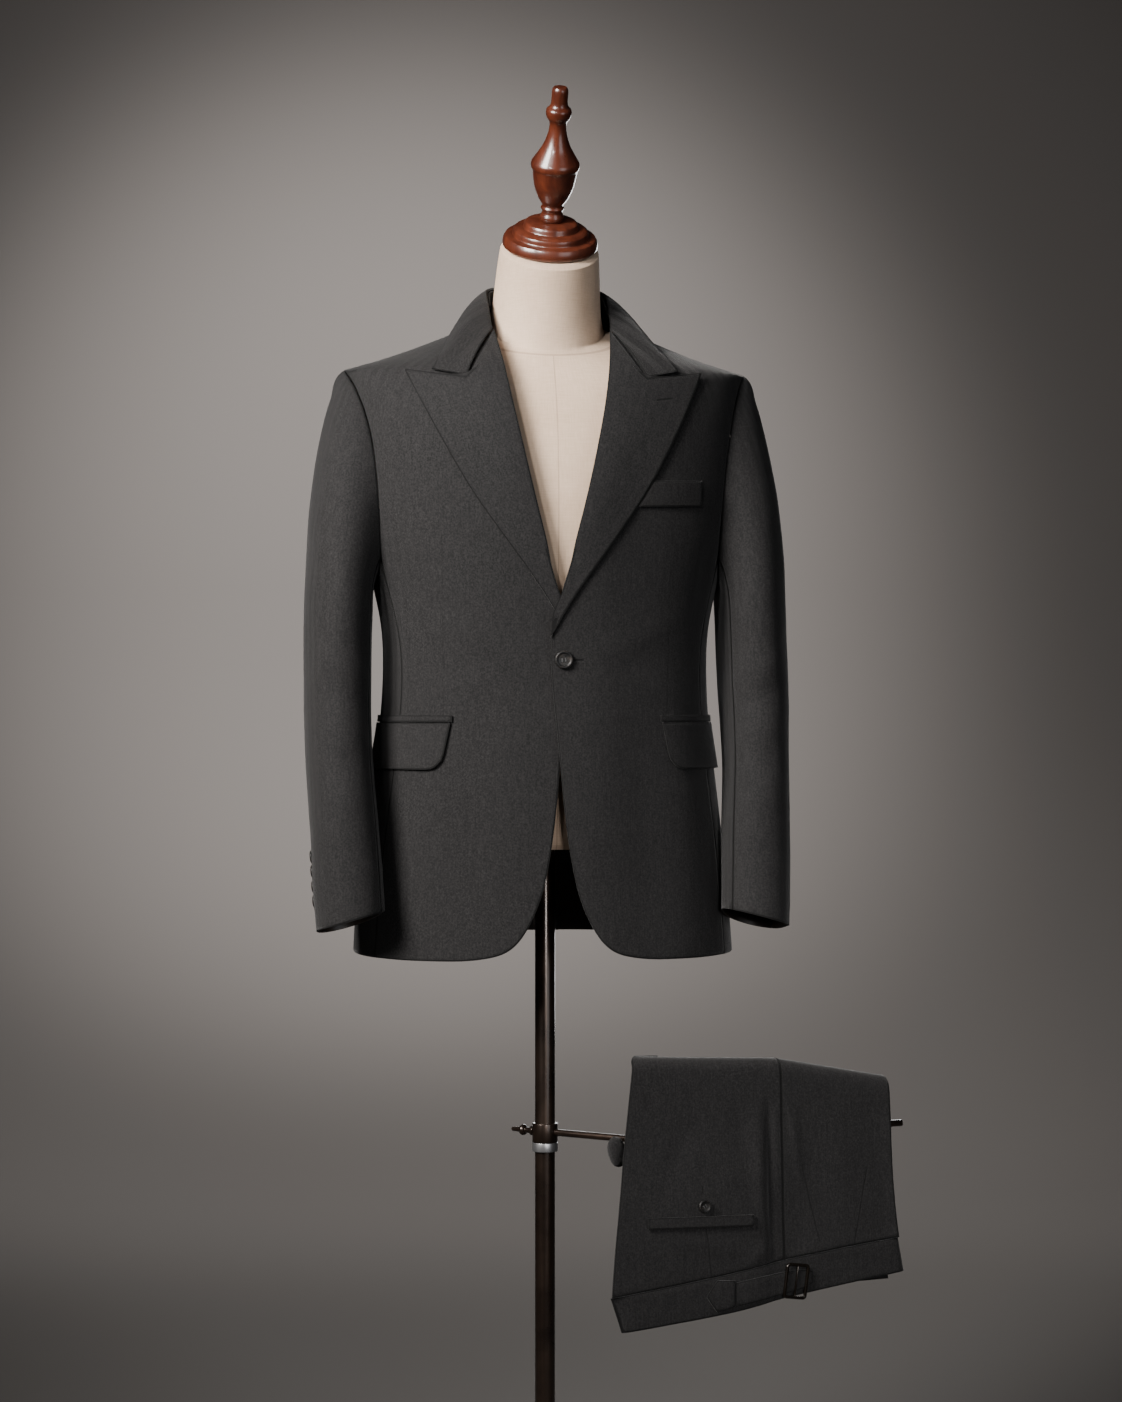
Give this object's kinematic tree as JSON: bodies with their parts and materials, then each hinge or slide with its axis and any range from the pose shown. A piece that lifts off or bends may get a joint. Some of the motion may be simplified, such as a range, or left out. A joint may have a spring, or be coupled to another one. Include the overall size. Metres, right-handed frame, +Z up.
{
  "type": "two-piece suit on a dress form stand",
  "caption": "Charcoal one-button suit with peak lapels: the jacket worn by a limbless form on a pole stand, the trousers folded over the stand's arm.",
  "frame": {"origin": "middle of the stand base's underside, on the pole's axis", "axes": "+Z up the pole, the suit faces -Y, the wearer's left is +X"},
  "size_m": [0.7043, 0.35, 1.7108],
  "materials": {
    "charcoal_wool": "matt worsted twill",
    "form_linen": "matt plain weave",
    "red_wood": "polished",
    "bronzed_steel": "semi-gloss",
    "worn_nickel": "satin",
    "dark_buckle": "gloss",
    "black_horn": "gloss"
  },
  "bodies": {
    "root": {"adjuster_strap": "charcoal_wool", "adjuster_tab": "charcoal_wool", "arm": "bronzed_steel", "back_left": "charcoal_wool", "back_right": "charcoal_wool", "base": "bronzed_steel", "breast_welt": "charcoal_wool", "buckle": "dark_buckle", "button_front": "black_horn", "clamp_collar": "bronzed_steel", "clamp_ring": "worn_nickel", "clamp_screw": "bronzed_steel", "collar": "charcoal_wool", "collar_stand": "charcoal_wool", "cuff_button_left_1": "black_horn", "cuff_button_left_2": "black_horn", "cuff_button_left_3": "black_horn", "cuff_button_left_4": "black_horn", "cuff_button_right_1": "black_horn", "cuff_button_right_2": "black_horn", "cuff_button_right_3": "black_horn", "cuff_button_right_4": "black_horn", "facing_left": "charcoal_wool", "facing_right": "charcoal_wool", "finial": "red_wood", "form": "form_linen", "front_left": "charcoal_wool", "front_right": "charcoal_wool", "hoop": "bronzed_steel", "neck_cap": "red_wood", "pocket_flap_left": "charcoal_wool", "pocket_flap_right": "charcoal_wool", "pocket_jet_left": "charcoal_wool", "pocket_jet_right": "charcoal_wool", "pole": "bronzed_steel", "side_left": "charcoal_wool", "side_right": "charcoal_wool", "sleeve_top_left": "charcoal_wool", "sleeve_top_right": "charcoal_wool", "sleeve_under_left": "charcoal_wool", "sleeve_under_right": "charcoal_wool", "trouser_back": "charcoal_wool", "trouser_button": "black_horn", "trouser_front": "charcoal_wool", "trouser_jet": "charcoal_wool", "trouser_legs": "charcoal_wool", "trouser_waistband": "charcoal_wool"}
  },
  "joints": []
}
